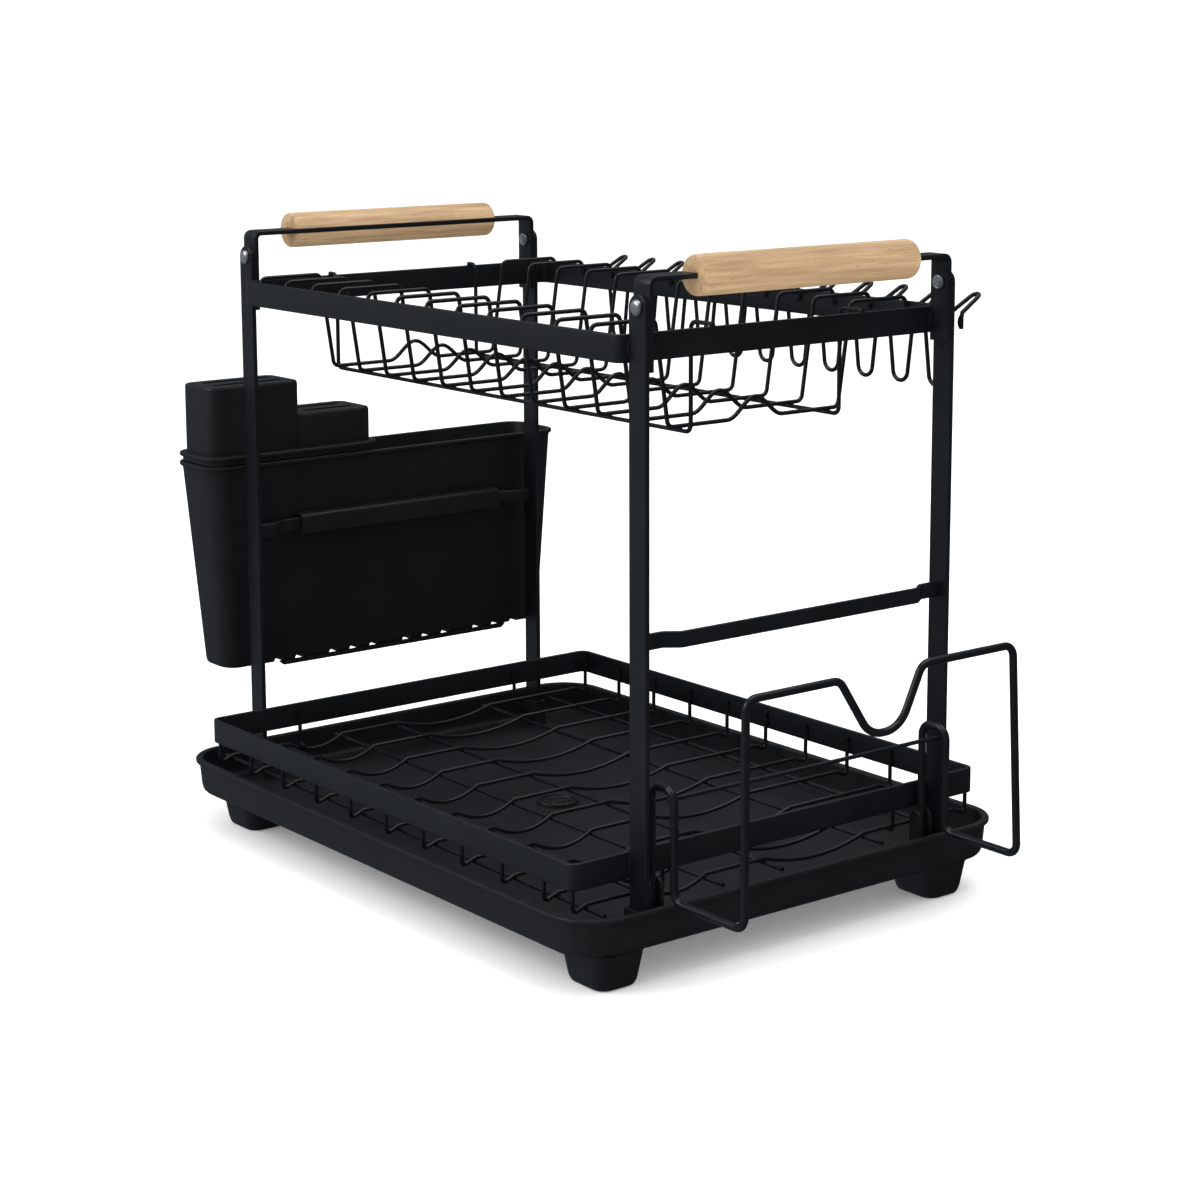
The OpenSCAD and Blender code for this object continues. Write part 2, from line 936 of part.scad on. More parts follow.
module holder_cross_wire() {
    x = holder_leg_x - rod_r - wire_r + overlap;
    color("#141618") place()
        rod([x, -holder_y - 2, holder_arch - 5], [x, holder_y + 2, holder_arch - 5], wire_r);
}

drip_tray();
post_front_left();
post_back_left();
post_front_right();
post_back_right();
cross_bar_left();
cross_bar_right();
bracket_left();
bracket_right();
handle_left();
handle_right();
bolts();
bolt_nuts();
upper_rim();
upper_front_wires();
upper_floor_wires();
upper_back_wires();
upper_long_wires();
upper_end_wires();
cup_hook_bends();
cup_hook_tips();
lower_rim();
lower_uprights();
lower_cross_wires();
lower_long_wires();
cutlery_box();
knife_insert();
holder_pins();
holder_arches();
holder_base_rods();
holder_uprights();
holder_rail();
holder_cross_wire();
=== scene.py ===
import math

import bmesh
import bpy
from mathutils import Matrix, Vector


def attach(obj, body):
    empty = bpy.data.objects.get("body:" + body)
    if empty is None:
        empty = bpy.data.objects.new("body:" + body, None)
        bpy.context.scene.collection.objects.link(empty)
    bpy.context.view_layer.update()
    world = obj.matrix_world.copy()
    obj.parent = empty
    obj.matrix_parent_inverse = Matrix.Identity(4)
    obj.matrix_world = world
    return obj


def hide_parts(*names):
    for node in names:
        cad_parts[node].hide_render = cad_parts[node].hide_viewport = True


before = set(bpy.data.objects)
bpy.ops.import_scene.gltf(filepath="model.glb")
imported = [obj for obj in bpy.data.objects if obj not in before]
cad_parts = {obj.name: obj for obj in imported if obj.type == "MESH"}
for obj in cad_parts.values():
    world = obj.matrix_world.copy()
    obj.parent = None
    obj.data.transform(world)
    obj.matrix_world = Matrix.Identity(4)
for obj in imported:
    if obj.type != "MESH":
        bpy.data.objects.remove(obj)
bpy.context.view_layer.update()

# ---- Drip tray ----
# One black injection-moulded tray: a leaning wall with a rolled lip, four feet and a floor that falls
# gently to a round drain boss. A socket takes the foot of each post, and two pairs of tabs hold the pins
# of the board holder.
MM = 0.001
TRAY_MID = 7.125  # the tray's middle lies this far along from the middle of the whole rack


class Signal:
    """A value inside a finish. Arithmetic on it adds the Math nodes."""

    def __init__(self, finish, socket):
        self.finish = finish
        self.socket = socket

    def maths(self, operation, first, second):
        return self.finish.node("ShaderNodeMath", {"operation": operation}, {0: first, 1: second})

    def __add__(self, other):
        return self.maths("ADD", self, other)

    __radd__ = __add__

    def __sub__(self, other):
        return self.maths("SUBTRACT", self, other)

    def __mul__(self, other):
        return self.maths("MULTIPLY", self, other)

    def ramp(self, low, high):
        """0 below low, 1 above high, straight between them."""
        limits = {0: self, 1: low, 2: high, 3: 0.0, 4: 1.0}
        return self.finish.node("ShaderNodeMapRange", {"clamp": True}, limits)


class Finish:
    """The surface of one kind of piece: a Principled shader and the nodes that feed it."""

    def __init__(self, name, slot):
        self.slot = slot
        self.material = bpy.data.materials.new(name)
        self.material.use_nodes = True
        self.tree = self.material.node_tree
        self.shader = self.tree.nodes["Principled BSDF"]

    def feed(self, socket, value):
        if isinstance(value, Signal):
            self.tree.links.new(value.socket, socket)
        else:
            socket.default_value = value

    def node(self, kind, settings, inputs, out=0):
        made = self.tree.nodes.new(kind)
        for key, value in settings.items():
            setattr(made, key, value)
        for key, value in inputs.items():
            self.feed(made.inputs[key], value)
        return Signal(self, made.outputs[out])

    def place(self):
        return self.node("ShaderNodeTexCoord", {}, {}, out=3)

    def stretched(self, where, x, y, z):
        return self.node("ShaderNodeMapping", {}, {"Vector": where, "Scale": (x, y, z)})

    def noise(self, where, scale, detail=2.0, rough=0.5):
        return self.node(
            "ShaderNodeTexNoise", {}, {"Vector": where, "Scale": scale, "Detail": detail, "Roughness": rough}
        )

    def tint(self, first, second, amount):
        return self.node("ShaderNodeMix", {"data_type": "RGBA"}, {0: amount, 6: first, 7: second}, out=2)

    def facing_up(self):
        normal = self.node("ShaderNodeNewGeometry", {}, {}, out=1)
        return self.node("ShaderNodeSeparateXYZ", {}, {0: normal}, out=2)

    def bumped(self, height, strength, depth):
        return self.node("ShaderNodeBump", {}, {"Strength": strength, "Distance": depth, "Height": height})

    def wear(self, **sockets):
        for key, value in sockets.items():
            self.feed(self.shader.inputs[key.replace("_", " ").title().replace("Ior", "IOR")], value)
        return self


def moulded_black(name, slot, shade, sheen):
    """Matt moulded plastic: spark-eroded grain, soft cloudy gloss, upward faces paler from dust and painted
    top light.
    """
    plastic = Finish(name, slot)
    where = plastic.place()
    grain = plastic.noise(where, 2600.0, 3.0, 0.6)
    cloud = plastic.noise(where, 34.0, 3.0, 0.55)
    scuff = plastic.noise(plastic.stretched(where, 300.0, 90.0, 40.0), 1.0, 4.0, 0.6).ramp(0.62, 0.78)
    # Upward faces are painted paler in patches: partly settled dust, partly painted top light.
    dust_and_top_light = plastic.facing_up().ramp(0.2, 1.0) * plastic.noise(where, 90.0, 5.0, 0.65).ramp(0.35, 0.75)
    worn = tuple(1.7 * v for v in shade) + (1.0,)
    tone = plastic.tint((*shade, 1.0), worn, cloud.ramp(0.3, 0.75) * 0.6 + scuff * 0.4)
    # The pale grey is the colour of the dust and of the painted top light.
    tone = plastic.tint(tone, (0.040, 0.042, 0.044, 1.0), dust_and_top_light * 0.05)
    return plastic.wear(
        base_color=tone,
        roughness=sheen + cloud * 0.12 + scuff * 0.06 + dust_and_top_light * 0.05,
        normal=plastic.bumped(grain, 0.35, 0.00006),
        specular_ior_level=0.42,
    )


def corner_box(mid_x, mid_y, long, deep, radius, height, steps=8):
    """One level of a moulding: a rectangle with round corners."""
    radius = max(0.05, min(radius, long / 2 - 0.01, deep / 2 - 0.01))
    ring = []
    for turn, (side_x, side_y) in enumerate(((1, 1), (-1, 1), (-1, -1), (1, -1))):
        for step in range(steps + 1):
            angle = math.radians(90 * (turn + step / steps))
            ring.append(
                Vector((
                    mid_x + side_x * (long / 2 - radius) + radius * math.cos(angle),
                    mid_y + side_y * (deep / 2 - radius) + radius * math.sin(angle),
                    height,
                ))
            )
    return ring


class Shape:
    """The points and faces of one piece, in millimetres from the middle of the tray."""

    def __init__(self):
        self.points = []
        self.faces = []

    def ring(self, ring):
        first = len(self.points)
        self.points += ring
        return list(range(first, first + len(ring)))

    def loft(self, rings, start=True, end=True, loop=False):
        rows = [self.ring(ring) for ring in rings]
        count = len(rows[0])
        pairs = list(zip(rows, rows[1:])) + ([(rows[-1], rows[0])] if loop else [])
        for low, high in pairs:
            for k in range(count):
                after = (k + 1) % count
                self.faces.append((low[k], low[after], high[after], high[k]))
        if start and not loop:
            self.faces.append(tuple(reversed(rows[0])))
        if end and not loop:
            self.faces.append(tuple(rows[-1]))
        return self

    def mesh(self, name):
        mesh = bpy.data.meshes.new(name)
        places = [((p[0] - TRAY_MID) * MM, p[1] * MM, p[2] * MM) for p in self.points]
        mesh.from_pydata(places, [], self.faces)
        return mesh

    def piece(self, name, body, finish, *cad_nodes, crease=35, bevel=0.0):
        """Makes the piece, smooths it, coats it and lets it ride on its body."""
        mesh = self.mesh(name)
        build = bmesh.new()
        build.from_mesh(mesh)
        bmesh.ops.recalc_face_normals(build, faces=build.faces)
        build.to_mesh(mesh)
        build.free()
        piece = bpy.data.objects.new(name, mesh)
        bpy.context.scene.collection.objects.link(piece)
        if bevel:
            rounding = piece.modifiers.new("rounding", "BEVEL")
            rounding.width = bevel * MM
            rounding.segments = 3
            rounding.limit_method = "ANGLE"
            rounding.angle_limit = math.radians(50)
            rounding.harden_normals = True
        mesh.polygons.foreach_set("use_smooth", [True] * len(mesh.polygons))
        mesh.set_sharp_from_angle(angle=math.radians(crease))
        mesh.materials.append(finish.material)
        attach(piece, body)
        if cad_nodes:
            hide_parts(*cad_nodes)
        return piece


tray_finish = moulded_black("tray_moulding", "tray_plastic", (0.0040, 0.0050, 0.0068), 0.42)
tray_half_x, tray_half_y, tray_radius, tray_x = 212.0, 156.5, 28.0, -3.0
drain_x, drain_y, drain_radius = -33.0, 8.0, 13.0
tray = Shape()
tray_wall = []
for out, height in (
    (-12.0, 20.5), (-7.4, 20.5), (-5.6, 20.7), (-4.0, 21.4), (-2.7, 22.7), (-1.9, 24.4), (-1.5, 26.5),
    (-0.3, 39.6), (-0.1, 40.3), (0.5, 40.6), (1.5, 40.7), (1.9, 41.1), (2.0, 41.8), (1.95, 42.7), (1.5, 43.3),
    (0.7, 43.5), (-1.2, 43.5), (-2.1, 43.25), (-2.6, 42.6), (-2.7, 41.5), (-3.9, 28.5), (-4.3, 26.6),
    (-5.3, 24.8), (-7.0, 23.8), (-9.6, 23.4),
):
    tray_wall.append(
        corner_box(tray_x, 0, 2 * (tray_half_x + out), 2 * (tray_half_y + out), tray_radius + out, height, 12)
    )
floor_edge = tray_wall[-1]
for share in (0.06, 0.3, 0.55, 0.8, 0.97):
    ring = []
    for edge in floor_edge:
        spoke = Vector((edge.x - drain_x, edge.y - drain_y, 0))
        mouth = spoke.normalized() * drain_radius
        at = spoke.lerp(mouth, share)
        ring.append(Vector((drain_x + at.x, drain_y + at.y, 23.4 - 0.9 * share)))
    tray_wall.append(ring)
tray.loft(tray_wall)


def turned(shape, mid, profile, steps=48):
    """A round boss or button: a profile of radius and height, turned about an upright axis."""
    rings = []
    for radius, height in profile:
        ring = []
        for step in range(steps):
            angle = 2 * math.pi * step / steps
            x, y = mid[0] + radius * math.cos(angle), mid[1] + radius * math.sin(angle)
            ring.append(Vector((x, y, height)))
        rings.append(ring)
    shape.loft(rings)


turned(tray, (drain_x, drain_y), (
    (13.0, 21.4), (13.0, 24.2), (12.7, 24.75), (12.2, 25.0), (11.5, 25.0), (11.0, 24.7), (10.8, 23.9),
    (10.2, 23.3), (5.2, 23.1), (4.6, 23.3), (4.2, 24.1), (3.6, 24.4), (0.4, 24.5),
))
for angle in range(0, 360, 60):
    x = drain_x + 7.7 * math.cos(math.radians(angle))
    y = drain_y + 7.7 * math.sin(math.radians(angle))
    turned(tray, (x, y), ((1.3, 22.9), (1.3, 23.7), (1.0, 24.0), (0.2, 24.1)), 16)
for foot_x in (-175.5, 184.5):
    for foot_y in (-125.5, 117.0):
        levels = []
        for inset, height, radius in (
            (-1.2, 21.4, 9.5), (-0.2, 20.0, 9.2), (0.2, 18.5, 9.0), (2.4, 4.5, 8.4), (3.0, 2.4, 8.2),
            (3.9, 0.8, 7.6), (5.4, 0.0, 6.6), (6.4, 0.0, 5.8), (7.0, 0.6, 5.4), (6.4, 17.5, 5.8),
            (8.5, 19.0, 5.0),
        ):
            levels.append(corner_box(foot_x, foot_y, 39.0 - 2 * inset, 34.0 - 2 * inset, radius, height, 6))
        tray.loft(levels)
post_x, post_y, post_width, post_thick = 196.8, 110.0, 14.0, 3.0
for side_x in (-1, 1):
    for side_y in (-1, 1):
        levels = []
        for out, height in (
            (3.4, 22.6), (3.1, 23.4), (2.9, 25.0), (2.5, 39.2), (2.1, 39.85), (1.6, 40.0), (0.8, 40.0),
            (0.5, 39.7), (0.4, 39.0), (0.4, 26.0),
        ):
            levels.append(
                corner_box(
                    side_x * post_x, side_y * post_y, post_width + 2 * out, post_thick + 2 * out,
                    max(0.2, out - 0.6), height, 4,
                )
            )
        tray.loft(levels)
pin_x, pin_y, tab_half, tab_round, tab_mid = 195.0, 100.4, 4.5, 50.5, 36.0
tab_outline = [(-tab_half, 22.5), (tab_half, 22.5)]
for angle in range(0, 181, 15):
    turn = math.radians(angle)
    tab_outline.append((tab_half * math.cos(turn), tab_round + tab_half * math.sin(turn)))
for side_y in (-1, 1):
    for beside in (-1, 1):
        mid = side_y * pin_y + beside * 3.9
        levels = []
        for inset, across in ((0.5, -1.25), (0.0, -0.8), (0.0, 0.8), (0.5, 1.25)):
            narrow, lower = 1 - inset / tab_half, 1 - inset / 19
            levels.append([
                Vector((pin_x + u * narrow, mid + across, tab_mid + (v - tab_mid) * lower))
                for u, v in tab_outline
            ])
        tray.loft(levels)
tray.piece("tray", "tray", tray_finish, "drip_tray")

# ---- Posts ----
# Four lengths of 14 x 3 mm flat steel bar with one end rounded and drilled for its bolt. They are welded
# to the ends of both rims, powder coated satin black with the rest of the frame, and stand in the sockets
# of the tray.


def powder_coat(name, slot, shade, gloss):
    """Satin powder coat: a fine orange peel, slow drift in gloss, upward faces paler from dust and painted
    top light.
    """
    coat = Finish(name, slot)
    where = coat.place()
    peel = coat.noise(where, 1500.0, 2.0, 0.45)
    drift = coat.noise(where, 26.0, 3.0, 0.5)
    specks = coat.noise(where, 5200.0, 1.0, 0.5).ramp(0.66, 0.74)
    # Upward faces are painted paler in patches: partly settled dust, partly painted top light.
    dust_and_top_light = coat.facing_up().ramp(0.3, 1.0) * coat.noise(where, 140.0, 5.0, 0.65).ramp(0.35, 0.8)
    tone = coat.tint((*shade, 1.0), tuple(1.5 * v for v in shade) + (1.0,), drift.ramp(0.3, 0.7))
    # The pale grey is the colour of the dust and of the painted top light, plus the fine specks.
    tone = coat.tint(tone, (0.050, 0.053, 0.057, 1.0), dust_and_top_light * 0.05 + specks * 0.08)
    return coat.wear(
        base_color=tone,
        roughness=gloss + drift * 0.10 + dust_and_top_light * 0.06,
        normal=coat.bumped(peel, 0.30, 0.00012),
        specular_ior_level=0.5,
        coat_roughness=0.3,
    )


bar_finish = powder_coat("bar_powder_coat", "coated_steel", (0.0028, 0.0038, 0.0054), 0.34)
post_foot, bolt_level = 26.0, 361.0


def flat_bar(shape, outline, low, high, axis):
    """A flat plate cut to an outline and laid across the given axis."""
    levels = []
    for level in (low, high):
        ring = []
        for u, v in outline:
            ring.append(Vector((level, u, v)) if axis == "x" else Vector((u, level, v)))
        levels.append(ring)
    shape.loft(levels)
    return shape


for side_x, end in ((-1, "left"), (1, "right")):
    for side_y, flank in ((-1, "front"), (1, "back")):
        mid_x, half = side_x * post_x, post_width / 2
        outline = [(mid_x - half, post_foot), (mid_x + half, post_foot)]
        for angle in range(0, 181, 10):
            turn = math.radians(angle)
            outline.append((mid_x + half * math.cos(turn), bolt_level + half * math.sin(turn)))
        mid = side_y * post_y
        post = flat_bar(Shape(), outline, mid - post_thick / 2, mid + post_thick / 2, "y")
        post.piece(f"{flank}_{end}_post", "rack", bar_finish, f"post_{flank}_{end}", bevel=0.55)

# ---- Cross bars ----
# One 9 mm flat bar on each side, stepped outwards near both ends so that the cutlery box can hook over
# it, and welded edge-on between the two posts.


def rounded_path(corners, radius, steps=6, closed=False):
    """The centre line of a bent bar or wire, with a true arc at every corner, of one radius or several."""
    corners = [Vector(c) for c in corners]
    count = len(corners)
    bends = radius if isinstance(radius, list) else [radius] * count
    path = []
    for i, corner in enumerate(corners):
        if not closed and i in (0, count - 1):
            path.append(corner)
            continue
        before = (corner - corners[i - 1]).normalized()
        after = (corners[(i + 1) % count] - corner).normalized()
        turn = before.angle(after)
        if turn < 0.01:
            path.append(corner)
            continue
        back = bends[i] * math.tan(turn / 2)
        centre = corner + (after - before).normalized() * bends[i] / math.cos(turn / 2)
        start = corner - before * back - centre
        finish = corner + after * back - centre
        for step in range(steps + 1):
            share = step / steps
            spoke = math.sin((1 - share) * turn) * start + math.sin(share * turn) * finish
            path.append(centre + spoke / math.sin(turn))
    return path


def swept(shape, path, section, upright=None, closed=False):
    """Runs a section along a path. A flat bar keeps its edge upright; a wire carries its frame along."""
    count = len(path)
    normal = None
    rings = []
    for i, point in enumerate(path):
        before = (point - path[i - 1]).normalized() if closed or i else (path[1] - point).normalized()
        after = (path[(i + 1) % count] - point).normalized() if closed or i < count - 1 else before
        tangent = (before + after).normalized()
        widen = 1 / max(0.5, tangent.dot(after))
        if upright is not None:
            up = Vector(upright)
            side = tangent.cross(up).normalized()
        else:
            if normal is None:
                seed = Vector((1, 0, 0)) if abs(tangent.x) < 0.9 else Vector((0, 1, 0))
                normal = tangent.cross(seed).normalized()
            normal = (normal - tangent * normal.dot(tangent)).normalized()
            side, up = normal, tangent.cross(normal)
        bend = (after - before).length
        ring = []
        for u, v in section:
            offset = side * u + up * v
            if bend > 1e-6 and widen > 1.0001:
                across = (after - before).normalized()
                offset += across * offset.dot(across) * (widen - 1)
            ring.append(point + offset)
        rings.append(ring)
    shape.loft(rings, loop=closed)
    return shape


def bar_section(thick, high, radius=0.6, steps=3):
    return [(p.x, p.y) for p in corner_box(0, 0, thick, high, radius, 0, steps)]


bar_thick, bar_high = 2.5, 15.0
cross_level, cross_high, cross_step = 185.0, 9.0, 6.0
for side_x, end in ((-1, "left"), (1, "right")):
    inner, outer = side_x * post_x, side_x * (post_x + cross_step)
    route = [
        (inner, -108.7, cross_level), (inner, -94.5, cross_level), (outer, -86.5, cross_level),
        (outer, 86.5, cross_level), (inner, 94.5, cross_level), (inner, 108.7, cross_level),
    ]
    cross = swept(Shape(), rounded_path(route, 3.0, 5), bar_section(bar_thick, cross_high, 0.8), (0, 0, 1))
    cross.piece(f"{end}_cross_bar", "rack", bar_finish, f"cross_bar_{end}")

# ---- Handle brackets ----
# A 14 x 3 mm flat bar bent over each end of the rack. Its legs are welded outside the upper rim's short
# bar and bolted to the posts, and its top carries the wooden handle.
bracket_y, bracket_low, handle_level = 107.0, 328.0, 376.0
for side_x, end in ((-1, "left"), (1, "right")):
    route = [
        (side_x * post_x, -bracket_y, bracket_low), (side_x * post_x, -bracket_y, handle_level),
        (side_x * post_x, bracket_y, handle_level), (side_x * post_x, bracket_y, bracket_low),
    ]
    section = [(v, u) for u, v in bar_section(post_thick, post_width, 0.7)]
    path = rounded_path(route, 3.6, 7)
    bracket = Shape()
    rings = []
    for i, point in enumerate(path):
        before = (point - path[i - 1]).normalized() if i else (path[1] - point).normalized()
        after = (path[i + 1] - point).normalized() if i < len(path) - 1 else before
        tangent = (before + after).normalized()
        out = Vector((1, 0, 0)).cross(tangent) / max(0.5, tangent.dot(after))
        rings.append([point + Vector((1, 0, 0)) * u + out * v for u, v in section])
    bracket.loft(rings)
    bracket.piece(f"{end}_bracket", "rack", bar_finish, f"bracket_{end}")

# ---- Wooden handles ----
# Two turned beech dowels, 22 mm through and 154 mm long, with softened ends. Each has a saw slit along
# its inner side and is pressed over the top of its bracket. The wood is sanded and has a thin matt oil.
beech = Finish("oiled_beech", "beech")
beech_at = beech.place()
beech_fibre = beech.noise(beech.stretched(beech_at, 420.0, 20.0, 420.0), 1.0, 5.0, 0.66)
beech_band = beech.noise(beech.stretched(beech_at, 95.0, 3.2, 95.0), 1.0, 3.0, 0.5)
beech_fleck = beech.noise(beech.stretched(beech_at, 1500.0, 190.0, 1500.0), 1.0, 1.0, 0.5).ramp(0.66, 0.72)
beech_tone = beech.tint((0.55, 0.380, 0.215, 1.0), (0.40, 0.255, 0.130, 1.0), beech_band.ramp(0.35, 0.68))
beech_tone = beech.tint(beech_tone, (0.27, 0.155, 0.075, 1.0), beech_fibre.ramp(0.42, 0.64) * 0.62)
beech_tone = beech.tint(beech_tone, (0.33, 0.175, 0.080, 1.0), beech_fleck * 0.75)
beech.wear(
    base_color=beech_tone,
    roughness=0.50 + beech_fibre * 0.14 + beech_fleck * 0.1,
    normal=beech.bumped(beech_fibre * 0.6 - beech_fleck, 0.35, 0.0001),
    specular_ior_level=0.35,
)
handle_radius, handle_x, slit_half, slit_floor = 11.0, 201.0, 1.55, 204.0
for side_x, end in ((-1, "left"), (1, "right")):
    slit_end = side_x * slit_floor
    slit_angle = math.asin(slit_half / handle_radius)
    levels = []
    for along, radius in (
        (-77.0, 9.4), (-76.8, 10.1), (-76.2, 10.65), (-75.2, 10.93), (-73.5, 11.0), (-40.0, 11.0),
        (0.0, 11.0), (40.0, 11.0), (73.5, 11.0), (75.2, 10.93), (76.2, 10.65), (76.8, 10.1), (77.0, 9.4),
    ):
        ring = []
        for step in range(49):
            angle = slit_angle + (2 * math.pi - 2 * slit_angle) * step / 48
            ring.append(
                Vector((handle_x * side_x - side_x * radius * math.cos(angle), along,
                        handle_level + radius * math.sin(angle)))
            )
        ring.append(Vector((slit_end, along, handle_level - slit_half)))
        ring.append(Vector((slit_end, along, handle_level + slit_half)))
        levels.append(ring)
    Shape().loft(levels).piece(f"{end}_handle", "rack", beech, f"handle_{end}", crease=40)

# ---- Bolts and ring nuts ----
# Four zinc-plated domed bolts go through post and bracket from the outside, and a ring nut closes each one
# on the inner face. The plating is bright, with fine turning marks and dull patches from handling.
zinc = Finish("zinc_plate", "zinc_steel")
zinc_at = zinc.place()
zinc_marks = zinc.noise(zinc.stretched(zinc_at, 2400.0, 500.0, 2400.0), 1.0, 3.0, 0.6)
zinc_dull = zinc.noise(zinc_at, 420.0, 4.0, 0.6).ramp(0.45, 0.7)
zinc.wear(
    base_color=zinc.tint((0.66, 0.67, 0.69, 1.0), (0.40, 0.41, 0.42, 1.0), zinc_dull),
    metallic=1.0,
    roughness=0.24 + zinc_marks * 0.12 + zinc_dull * 0.16,
    normal=zinc.bumped(zinc_marks, 0.25, 0.00005),
)


def lathe(shape, mid, side_y, profile, steps=32):
    """Turns a profile of radius and depth about a level axis that runs across the rack."""
    levels = []
    for radius, depth in profile:
        ring = []
        for step in range(steps):
            angle = 2 * math.pi * step / steps
            ring.append(Vector((
                mid[0] + radius * math.cos(angle), mid[1] + side_y * depth, mid[2] + radius * math.sin(angle)
            )))
        levels.append(ring)
    shape.loft(levels)


bolts, nuts = Shape(), Shape()
for side_x in (-1, 1):
    for side_y in (-1, 1):
        lathe(bolts, (side_x * post_x, side_y * 111.5, bolt_level), side_y, (
            (2.5, -8.4), (2.5, 0.05), (4.2, 0.02), (4.5, 0.3), (4.45, 0.75), (4.1, 1.35), (3.4, 1.85),
            (2.4, 2.2), (1.2, 2.36), (0.1, 2.4),
        ))
        lathe(nuts, (side_x * post_x, side_y * 105.5, bolt_level), side_y, (
            (2.55, 0.0), (4.1, 0.0), (4.2, -0.2), (4.2, -1.3), (3.9, -1.65), (3.4, -1.8), (2.9, -1.8),
            (2.55, -1.5),
        ))
bolts.piece("domed_bolts", "rack", zinc, "bolts", crease=50)
nuts.piece("ring_nuts", "rack", zinc, "bolt_nuts", crease=50)

# ---- Upper rim ----
# One 15 x 2.5 mm flat bar bent on edge into a rectangle with small corner radii and butt welded into a
# ring.
rim_long, rim_deep, rim_top, rim_radius = 380.0, 235.5, 347.0, 6.0


def rim_ring(long, deep, level):
    half_x, half_y = (long - bar_thick) / 2, (deep - bar_thick) / 2
    around = ((1, 1), (-1, 1), (-1, -1), (1, -1))
    corners = [(side_x * half_x, side_y * half_y, level) for side_x, side_y in around]
    path = rounded_path(corners, rim_radius - bar_thick / 2, 8, closed=True)
    return swept(Shape(), path, bar_section(bar_thick, bar_high, 0.7), (0, 0, 1), closed=True)


def weld(shape, at, along, across, high, steps=10):
    """A small smooth weld bead that fills the corner between two coated pieces."""
    levels = []
    for tier in range(1, 6):
        polar = math.pi * tier / 6
        levels.append([
            Vector((
                at[0] + along * math.sin(polar) * math.cos(2 * math.pi * step / steps),
                at[1] + across * math.sin(polar) * math.sin(2 * math.pi * step / steps),
                at[2] + high * math.cos(polar),
            ))
            for step in range(steps)
        ])
    shape.loft(levels)


upper_rim = rim_ring(rim_long, rim_deep, rim_top - bar_high / 2)
for side_x in (-1, 1):
    for side_y in (-1, 1):
        weld(upper_rim, (side_x * 190.2, side_y * 105.4, 340.0), 1.4, 1.7, 5.5)
        weld(upper_rim, (side_x * 190.2, side_y * 111.4, 340.0), 1.3, 1.5, 6.0)
upper_rim.piece("upper_rim_bar", "rack", bar_finish, "upper_rim")

# ---- Upper rack wires ----
# Twelve 2.5 mm wires cross the upper rim. Each leaves the front bar's inner face, runs level over the
# shoulder, drops into the well, rises in a plate hump in the middle and climbs out again, and is spot
# welded at both ends.
wire_finish = powder_coat("wire_powder_coat", "coated_wire", (0.0028, 0.0036, 0.0050), 0.28)
wire_radius = 1.25


def round_section(radius, steps=12):
    angles = [2 * math.pi * k / steps for k in range(steps)]
    return [(radius * math.cos(angle), radius * math.sin(angle)) for angle in angles]


upper_floor, shoulder_level, hump = 290.5, 349.45, 11.5
upper_x = [-174.0 + 30.5 * k for k in range(12)]
bar_face, shoulder_end, well_half, hump_half, length_y = 114.2, 71.0, 62.0, 20.0, 54.0
way_in = [
    (-bar_face, 341.0), (-bar_face, shoulder_level), (-shoulder_end, shoulder_level),
    (-well_half, upper_floor), (-hump_half - 4.0, upper_floor),
]
upper_wires = Shape()
for x in upper_x:
    path = rounded_path([(x, y, z) for y, z in way_in], 4.0, 5)
    for step in range(-10, 11):
        y = hump_half * step / 10
        path.append(Vector((x, y, upper_floor + hump * (1 + math.cos(math.pi * y / hump_half)) / 2)))
    path += rounded_path([(x, -y, z) for y, z in reversed(way_in)], 4.0, 5)
    swept(upper_wires, path, round_section(wire_radius))
    for side_y in (-1, 1):
        weld(upper_wires, (x, side_y * 114.6, 342.5), 2.0, 1.3, 3.0)
        weld(upper_wires, (x, side_y * length_y, 289.4), 1.7, 1.7, 0.9)
upper_wires.piece("upper_cross_wires", "rack", wire_finish,
                  "upper_front_wires", "upper_floor_wires", "upper_back_wires")

# ---- Long wires of the upper rack ----
# Two wires run the length of the well under the cross wires. Their ends turn up and hook over the tops of
# the short bars, where they are welded.
over_bar, under_floor, left_end, right_end, bar_mid = 348.05, 288.2, -181.5, 171.0, 189.6
upper_long = Shape()
for y in (-length_y, length_y):
    route = [
        (-bar_mid, y, over_bar), (left_end, y, over_bar), (left_end, y, under_floor),
        (right_end, y, under_floor), (right_end, y, over_bar), (bar_mid, y, over_bar),
    ]
    swept(upper_long, rounded_path(route, 4.0, 6), round_section(wire_radius))
    for side_x in (-1, 1):
        weld(upper_long, (side_x * 188.4, y, 347.3), 1.6, 2.0, 1.2)
upper_long.piece("upper_length_wires", "rack", wire_finish, "upper_long_wires", "upper_end_wires")

